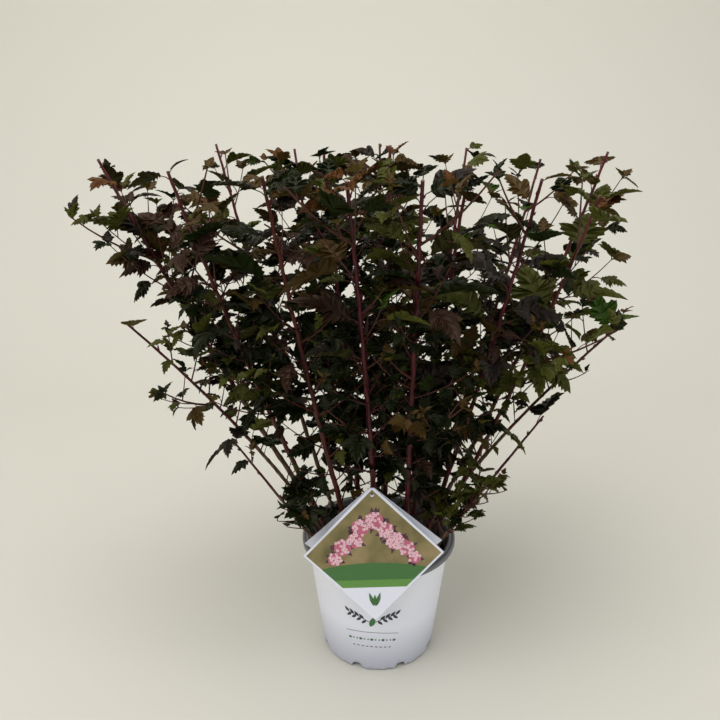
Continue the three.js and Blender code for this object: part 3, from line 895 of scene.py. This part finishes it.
RUSSET_CANES = {"front_outer_left", "middle", "right_front", "back_right", "left_front", "right_low"}
OLD_WOOD = {
    "left": 0.42, "left_low": 0.5, "left_lower": 0.6, "right_low": 0.5, "right_lower": 0.6, "right": 0.34,
    "left_lowest": 0.5, "right_lowest": 0.5, "back_left": 0.3, "back_right": 0.3, "left_back": 0.36,
}
OLD_FOOT = 0.07
# Each cane's mesh, the distance between its nodes, their swelling, the bark's relief, the zigzag and how it
# fades at both ends, and how uneven the upper edge of the old bark is
BARK = Sizes(
    rings=120, sides=12, nodes=16, slim=0.92, swelling=0.14, swollen=0.08, crack=0.035, ridge=0.04,
    zigzag=0.35, fade=12, uneven=0.012,
)
RED, OLD, CUT, RUSSET = range(4)
# Each bark: dark and light colour, roughness, scale of its noise, and relief in metres
BARKS = {
    "bark_red": ((0.032, 0.003, 0.006), (0.108, 0.008, 0.014), 0.42, 260, 0.0006),
    "bark_old": ((0.045, 0.024, 0.015), (0.2, 0.125, 0.075), 0.8, 240, 0.001),
    "cut_wood": ((0.1, 0.055, 0.03), (0.3, 0.21, 0.12), 0.85, 900, 0.0003),
    "bark_russet": ((0.04, 0.007, 0.005), (0.108, 0.019, 0.011), 0.45, 260, 0.0006),
}
YOUNG_BARK = ((0.04, 0.01, 0.007), (0.105, 0.026, 0.018), 0.5, 320, 0.0004)
# A bud, and the stub of a cut side shoot: sizes, how far it leans along the cane, and its width by length
BUD = Sizes(count=6, length=3.4, radius=0.95, onward=2.2, widths=(0.7, 1.0, 0.7, 0.08))
STUB = Sizes(share=0.25, lengths=(4, 8), radius=0.8, onward=1.0, widths=(1.0, 0.95, 0.9, 0.85))


def add_cane(parts, cane, rng):
    """A cane from the mix to its cut tip, swollen at its nodes, with the ridges and cracks of its bark."""
    rings, sides = BARK.rings, BARK.sides
    t = np.linspace(0, 1, rings)
    phase = t * cane.length / BARK.nodes + rng.random()
    swelling = np.exp(-(((phase % 1) - 0.5) / BARK.swollen) ** 2)
    radius = cane.radius_at(t) * BARK.slim * (1 + BARK.swelling * swelling)
    relief = rng.normal(0, BARK.crack, (rings, sides)) + rng.normal(0, BARK.ridge, (1, sides))
    zigzag = np.abs((phase / 2 % 1) - 0.5) * 4 - 1
    fade = np.minimum(1, BARK.fade * t * (1 - t))
    path = cane.at(t) + square_to(cane.slope(t))[0] * (BARK.zigzag * zigzag * fade)[:, None]
    points, faces = tube(path, radius[:, None] * (1 + relief), sides, capped=True)
    old = OLD_WOOD.get(cane.name, OLD_FOOT) + rng.normal(0, BARK.uneven, len(faces))
    young = RUSSET if cane.name in RUSSET_CANES else RED
    slot = np.where(faces.min(axis=1) // sides / rings < old, OLD, young)
    slot[-sides:] = CUT
    parts.add(points, faces, slot)
    add_buds(parts, cane, path, radius, phase, rng)


def add_buds(parts, cane, path, radius, phase, rng):
    """A bud, or the short stub of a cut side shoot, at each node near the tip."""
    nodes = np.flatnonzero(np.diff(np.floor(phase + 0.5)) > 0)
    for order, ring in enumerate(nodes[-BUD.count:]):
        along = cane.slope(ring / (len(path) - 1))[0]
        outward = away_from(along, order * GOLDEN + cane.index)
        root = path[ring] + outward * radius[ring] * 0.8
        kind, length = BUD, BUD.length
        if rng.random() < STUB.share:
            kind, length = STUB, rng.uniform(*STUB.lengths)
        steps = np.linspace(0, length, len(kind.widths))[:, None]
        middle = root + unit(outward + kind.onward * along) * steps
        parts.add(*tube(middle, kind.radius * np.array(kind.widths), 6, capped=True))


def add_wood(plant):
    parts, rng = Parts(), np.random.default_rng(SEED + 3)
    for cane in canes:
        add_cane(parts, cane, rng)
    limbs = [f"cane_{cane.name}" for cane in canes]
    masses = [f"foliage_{cane.name}" for cane in canes]
    young = [bark("twig_bark", *YOUNG_BARK)]
    parts.add_piece("canes", [bark(name, *look) for name, look in BARKS.items()], "bark", limbs)
    plant.twigs.add_piece("twigs", young, "bark", masses)
    plant.stalks.add_piece("leaf_stalks", young, "bark", masses)
    for tone, leaves in plant.leaves.items():
        add_leaves(tone, leaves, masses)


# Pot

def wall_radius(level):
    return POT.base + (POT.top - POT.base) * level / POT.height


def lathe(profile, sides):
    """Points and quads of a profile of (radius, level) turned round the pot's axis."""
    profile, turn = np.asarray(profile, dtype=float), even_turns(sides)
    radius, level = profile[:, :1], profile[:, 1:]
    points = np.stack([radius * np.cos(turn), radius * np.sin(turn), level * np.ones(sides)], axis=-1)
    return points.reshape(-1, 3), grid_faces(len(profile), sides)


def plastic(name, colour, roughness, speck):
    material = paint(name, colour, roughness, gloss=0.45)
    add_bump(material, add_noise(material, 900, 2), speck, 0.0002)
    return material


def shape_foot(points):
    """Cuts drainage notches into the foot, and lifts the film in slight waves between them."""
    slope, low_part, film_wave, ripple = 2.5, 9, 0.45, 0.006
    angle = np.arctan2(points[:, 1], points[:, 0])
    step = FULL_TURN / NOTCH.count
    from_notch = np.abs((angle / step) % 1 - 0.5) * step * POT.base
    notch = np.clip((NOTCH.wide / 2 - from_notch) / slope, 0, 1)
    low = np.clip(1 - points[:, 2] / low_part, 0, 1)
    edge = film_wave * (1 + np.sin(40 * angle + 2 * np.sin(7 * angle)))
    points[:, 2] += low * (notch * NOTCH.tall + edge)
    points[:, :2] *= (1 + ripple * low * np.sin(27 * angle + 1.5 * np.sin(5 * angle)))[:, None]


def add_pot():
    sides, rim, top, opening = 288, POT.rim, POT.height, POT.opening
    under, inset = top - POT.rim_drop, POT.base - 5
    film = plastic("pot_film", (0.86, 0.88, 0.99), 0.36, 0.2)
    # Painted shade: the film darkens towards the foot, standing in for the shade on the pot's lower half.
    painted_foot_shade = [(0.0, (0.46, 0.48, 0.58)), (0.45, (0.84, 0.865, 0.99)), (0.95, (0.88, 0.9, 1.0))]
    add_ramp(film, add_level(film, top * MM), painted_foot_shade)
    grey = plastic("pot_grey", (0.15, 0.154, 0.168), 0.42, 0.25)
    foot = [(POT.base - 4, 0.6), (POT.base - 1, 0.0), (POT.base, 0.8)]
    body = foot + [(wall_radius(level), level) for level in np.linspace(3, under, 30)]
    edge = [
        (wall_radius(under) - 0.2, under), (rim - 0.8, under), (rim, under + 0.8), (rim, top - 1.2),
        (rim - 0.5, top - 0.4), (rim - 1.2, top), (rim - 2.4, top), (rim - 2.8, top - 0.7),
        (rim - 3.4, top - 0.7), (rim - 3.8, top), (opening + 0.6, top), (opening, top - 0.6),
    ]
    inner = [under, *np.linspace(under - 1, 60, 12)]
    edge += [(wall_radius(level) - POT.wall, level) for level in inner]
    floor = [(0.0, 0.0), (inset - 1, 0.0), (inset, 0.6), (inset, 7.0)]
    points, faces = lathe(body, sides)
    shape_foot(points)
    add_piece("pot_body", points, faces, [film], "pot", ["pot"])
    add_piece("pot_rim", *lathe(edge, sides), [grey], "pot", ["pot"])
    add_piece("pot_floor", *lathe(floor, sides), [film], "pot", ["pot"])
    add_pot_print()


# Printed ornament: flat shapes, set a hair proud of what they are printed on

def polygon(points):
    """A convex outline as its points and a fan of triangles."""
    return points, [(0, i, i + 1) for i in range(1, len(points) - 1)]


def leaf_outline(base, tip, width):
    base, tip = np.array(base, dtype=float), np.array(tip, dtype=float)
    along = tip - base
    side = np.array([-along[1], along[0]]) / np.linalg.norm(along) * width / 2
    shares = np.linspace(0, 1, 9)
    swell = np.sin(np.pi * shares ** 0.85)
    one = base + along * shares[:, None] + side * swell[:, None]
    other = base + along * shares[::-1, None] - side * swell[::-1, None]
    return np.concatenate([one, other[1:-1]])


def disc(middle, radius, sides=14, petals=0):
    turn = even_turns(sides)
    reach = radius * (1 + (0.22 if petals else 0) * np.cos(petals * turn))
    return np.array(middle) + reach[:, None] * ways(turn)


def stroke(points, width):
    """A line of a width along a few points, as convex quads."""
    points = np.asarray(points, dtype=float)
    along = unit(np.gradient(points, axis=0))
    side = np.stack([-along[:, 1], along[:, 0]], axis=-1) * width / 2
    left, right = points + side, points - side
    return [np.array([right[i], right[i + 1], left[i + 1], left[i]]) for i in range(len(points) - 1)]


def ink(name, colour):
    """Printer's ink, a little uneven on the sheet."""
    thin = tuple(min(1.0, 1.15 * part) for part in colour)
    return mottled(name, [(0.35, colour), (0.7, thin)], 0.35, 600)


def sagging(x, level, sag):
    """A place on a line that sags in step with the pot's curve."""
    return x, level - sag * (x / 24) ** 2


def add_pot_print():
    """A garland of dark leaves round one green leaf, over a curved rule and a row of dots."""
    middle, proud, navy, green = -7, 0.12, 0, 1
    parts = Parts()

    def put(outline, slot):
        across, level = np.asarray(outline).T
        radius = wall_radius(level) + proud
        angle = (across + middle) / radius - math.pi / 2
        points, faces = polygon(np.stack([radius * np.cos(angle), radius * np.sin(angle), level], axis=-1))
        parts.add(points, faces, slot)

    for side in (-1, 1):
        stem = [(side * (3 + 19 * s), 62 + 13 * s - 5 * s * s) for s in np.linspace(0, 1, 9)]
        for quad in stroke(stem, 0.7):
            put(quad if side > 0 else quad[::-1], navy)
        for order, (x, z) in enumerate(stem[1:]):
            rise = 5.4 if order % 2 else -4.4
            put(leaf_outline((x, z), (x + side * 4.6, z + rise), 2.9)[::-1], navy)
    put(leaf_outline((-1.5, 56), (2.5, 69), 5.6)[::-1], green)
    for quad in stroke([sagging(x, 49, 2.2) for x in np.linspace(-25, 25, 21)], 0.5):
        put(quad, navy)
    for order, x in enumerate(np.linspace(-21, 21, 13)):
        radius, slot = (1.5, green) if order % 3 == 0 else (0.8, navy)
        put(disc(sagging(x, 40, 1.6), radius), slot)
    for x in np.linspace(-17, 17, 9):
        _, level = sagging(x, 31, 1.4)
        put(leaf_outline((x - 1.5, level), (x + 1.5, level), 1.2)[::-1], navy)
    inks = [ink("pot_navy", (0.02, 0.022, 0.04)), ink("pot_green", (0.035, 0.16, 0.045))]
    parts.add_piece("pot_print", inks, "pot", ["pot"], smooth=False)


# Plant label: white card with a generic printed front

FLOWER_HEADS = (
    ((-34, -4), 6), ((-27, 7), 7.5), ((-16, 13), 7), ((-11, 25), 7.5), ((1, 31), 8),
    ((11, 22), 7), ((19, 12), 8), ((29, 5), 7), ((36, -4), 5.5),
)
# A flower head: the leaves under it, its flowers to a square millimetre and their sizes, and the pale share
HEAD = Sizes(
    leaves=6, leaf_reach=1.6, leaf_width=4, crowding=0.42, spread=0.97, flower=1.25, eye=0.38, pale=0.75,
)
# The label's ochre ground, mottled as a meadow out of focus
MEADOW = [(0.3, (0.13, 0.11, 0.04)), (0.55, (0.25, 0.2, 0.085)), (0.75, (0.35, 0.26, 0.14))]
INKS = {
    "leaf_green": (0.05, 0.15, 0.04), "pink": (0.5, 0.13, 0.21), "blush": (0.8, 0.58, 0.64),
    "plum": (0.075, 0.03, 0.05), "wine": (0.38, 0.03, 0.09), "light_green": (0.11, 0.26, 0.055),
}
OCHRE, LEAF_GREEN, PINK, BLUSH, PLUM, WINE, LIGHT_GREEN = range(1 + len(INKS))
CARD = Sizes(border=1.7, green_top=-13, green_turn=-24, green_foot=-31, proud=0.1, layer=0.05)


class CardFace:
    """The front of the label's front leaf. Places on it are across and up from its middle."""

    def __init__(self, card):
        (fold_out, fold_level), (foot_out, foot_level) = LABEL.fold, LABEL.foot
        turn, across = math.radians(LABEL.turn), np.array([1.0, 0.0, 0.0])
        upward = unit(np.array([0.0, foot_out - fold_out, fold_level - foot_level]))
        self.normal = np.cross(across, upward)
        self.right = across * math.cos(turn) + upward * math.sin(turn)
        self.up = upward * math.cos(turn) - across * math.sin(turn)
        points = np.array([vertex.co for vertex in card.data.vertices]) / MM
        middle = np.array([LABEL.middle[0], 0.0, LABEL.middle[1]])
        out = ((points @ self.normal).max() - middle @ self.normal) / self.normal[1]
        self.middle = middle + np.array([0.0, out, 0.0])
        self.half = LABEL.half - CARD.border * math.sqrt(2)
        self.parts = Parts()

    def at(self, outline, layer):
        outline = np.asarray(outline, dtype=float)
        proud = CARD.proud + CARD.layer * layer
        return self.middle + outline[:, :1] * self.right + outline[:, 1:] * self.up + self.normal * proud

    def put(self, outline, slot, layer):
        self.parts.add(*polygon(self.at(outline, layer)), slot)

    def put_round_hole(self, outline, slot):
        """A convex outline with the card's hole left open, as a ring of quads round the hole."""
        hole = np.array([0.0, LABEL.half - LABEL.hole_below])
        outline = np.asarray(outline, dtype=float) - hole
        corners = np.arctan2(outline[:, 1], outline[:, 0])
        turns = np.sort(np.concatenate([corners, np.linspace(-math.pi, math.pi, 33)[:-1]]))
        edges = np.roll(outline, -1, axis=0) - outline
        normals = np.stack([edges[:, 1], -edges[:, 0]], axis=-1)
        toward = ways(turns) @ normals.T
        reach = np.where(toward > 1e-9, (outline * normals).sum(axis=1) / np.maximum(toward, 1e-9), np.inf)
        radii = np.concatenate([np.full(len(turns), LABEL.hole), reach.min(axis=1)])
        ring = np.tile(ways(turns), (2, 1)) * radii[:, None] + hole
        self.parts.add(self.at(ring, 0), triangles(grid_faces(2, len(turns)))[:, ::-1], slot)


def print_flower_head(face, middle, radius, rng):
    """A dome of small five-petalled flowers over dark leaves."""
    middle = np.array(middle)
    for way in ways(rng.uniform(0, FULL_TURN, HEAD.leaves)):
        face.put(leaf_outline(middle, middle + way * radius * HEAD.leaf_reach, HEAD.leaf_width), PLUM, 1)
    face.put(disc(middle, radius, 20), PINK, 2)
    flowers = round(HEAD.crowding * radius * radius)
    for i in range(flowers):
        spot = middle + radius * math.sqrt((i + 0.5) / flowers) * HEAD.spread * ways(i * GOLDEN)
        face.put(disc(spot, HEAD.flower, 20, petals=5), BLUSH if rng.random() < HEAD.pale else PINK, 3)
        face.put(disc(spot, HEAD.eye, 6), WINE, 4)


def dress_label():
    """A garland of flower heads on an ochre ground, over a green hill and three leaves at the foot."""
    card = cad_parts["plant_label"]
    card.data.materials.clear()
    card.data.materials.append(plastic("card_white", (0.78, 0.805, 0.92), 0.32, 0.1))
    face, rng = CardFace(card), np.random.default_rng(SEED + 5)
    half, top, turn, foot = face.half, CARD.green_top, CARD.green_turn, CARD.green_foot
    hill = [(x, top + 5 * (1 - (x / (half + top)) ** 2)) for x in np.linspace(half + top, -half - top, 15)]
    meadow = [(-half - foot, foot), (half + foot, foot), (half + turn, turn), (-half - turn, turn)]
    face.put_round_hole([(-half, 0), (-half - top, top), (half + top, top), (half, 0), (0, half)], OCHRE)
    face.put([(-half - turn, turn), (half + turn, turn), *hill], LEAF_GREEN, 1)
    face.put(meadow, LIGHT_GREEN, 1)
    for middle, radius in FLOWER_HEADS:
        print_flower_head(face, middle, radius, rng)
    for lean in (-5, 0, 5):
        face.put(leaf_outline((lean * 0.2, -49), (lean, -38 + abs(lean) * 0.4), 3.4), LEAF_GREEN, 1)
    ground = mottled("label_ochre", MEADOW, 0.35, 45, 2)
    inks = [ground, *(ink(f"label_{name}", colour) for name, colour in INKS.items())]
    face.parts.add_piece("label_print", inks, "label", [], smooth=False)


# Potting mix: a rough surface with chips of bark

# The ground: its waves and grain, how far it lies under the mix's level, and its fall to the pot's wall
GROUND = Sizes(waves=14, pitch=0.35, height=0.22, grain=0.35, under=0.6, fall_width=10, edge_level=100)
# Chips: number, reach, size, share of each bark, and how far they stand up, flatten, shrink and lie proud
CHIPS = Sizes(
    count=900, edge=64, size=((2.2, 8.0), (1.2, 3.4), (0.5, 1.5)), chances=(0.62, 0.26, 0.12), upright=0.35,
    flat=0.55, shrink=(0.6, 1.0), proud=0.5,
)
SOIL = [(0.35, (0.004, 0.003, 0.002)), (0.7, (0.032, 0.02, 0.013))]
CHIP_BARKS = {
    "chip_dark": ((0.007, 0.004, 0.003), (0.026, 0.015, 0.01), 0.9, 500, 0.0005),
    "chip_brown": ((0.035, 0.017, 0.009), (0.09, 0.046, 0.021), 0.85, 500, 0.0005),
    "chip_ochre": ((0.09, 0.05, 0.023), (0.21, 0.12, 0.052), 0.85, 500, 0.0005),
}


class MixSurface:
    """The uneven top of the mix."""

    def __init__(self, rng):
        draws = range(GROUND.waves)
        self.waves = [(rng.normal(0, GROUND.pitch, 2), rng.random() * FULL_TURN) for _ in draws]

    def level(self, x, y):
        fall = MIX.fall * np.clip((np.hypot(x, y) - MIX.flat) / GROUND.fall_width, 0, 1)
        swell = sum(np.sin(k[0] * x + k[1] * y + phase) for k, phase in self.waves)
        return MIX.level - fall - GROUND.under + GROUND.height * swell


def add_ground(surface, rng):
    rings, sides, gap = 46, 120, 0.2
    radii = np.linspace(wall_radius(GROUND.edge_level) - POT.wall - gap, 0, rings)[:, None]
    x, y = radii * np.cos(even_turns(sides)), radii * np.sin(even_turns(sides))
    z = surface.level(x, y) + rng.normal(0, GROUND.grain, x.shape)
    points = np.stack([x, y, z], -1).reshape(-1, 3)
    soil = mottled("mix_dark", SOIL, 0.95, 420, 6, bump=(0.9, 0.002))
    add_piece("mix_surface", points, grid_faces(rings, sides), [soil], "potting_mix", ["potting_mix"])


def add_chips(surface, rng):
    """Flat crooked boxes of bark, strewn at random."""
    chips = Parts()
    corners = 2 * np.indices((2, 2, 2)).reshape(3, -1).T - 1.0
    quads = [(0, 1, 3, 2), (4, 6, 7, 5), (0, 4, 5, 1), (2, 3, 7, 6), (0, 2, 6, 4), (1, 5, 7, 3)]
    for _ in range(CHIPS.count):
        reach, way = CHIPS.edge * math.sqrt(rng.random()), rng.random() * FULL_TURN
        size = np.array([rng.uniform(*side) for side in CHIPS.size])
        if reach + size[0] / 2 > CHIPS.edge:
            continue
        x, y = reach * math.cos(way), reach * math.sin(way)
        axes = np.linalg.qr(rng.normal(0, 1, (3, 3)) * (1, 1, CHIPS.upright) + np.eye(3) * 0.2)[0]
        box = corners * rng.uniform(*CHIPS.shrink, (8, 3)) * size / 2 @ axes * (1, 1, CHIPS.flat)
        middle = np.array([x, y, surface.level(x, y) + CHIPS.proud])
        chips.add(middle + box, quads, int(rng.choice(len(CHIP_BARKS), p=CHIPS.chances)))
    barks = [bark(name, *look) for name, look in CHIP_BARKS.items()]
    chips.add_piece("bark_chips", barks, "potting_mix", ["potting_mix"], smooth=False)


def add_mix():
    rng = np.random.default_rng(SEED + 7)
    surface = MixSurface(rng)
    add_ground(surface, rng)
    add_chips(surface, rng)


set_camera()
set_floor()
set_light()
plant = Plant()
for cane in canes:
    plant.grow(cane)
add_wood(plant)
add_pot()
add_mix()
dress_label()
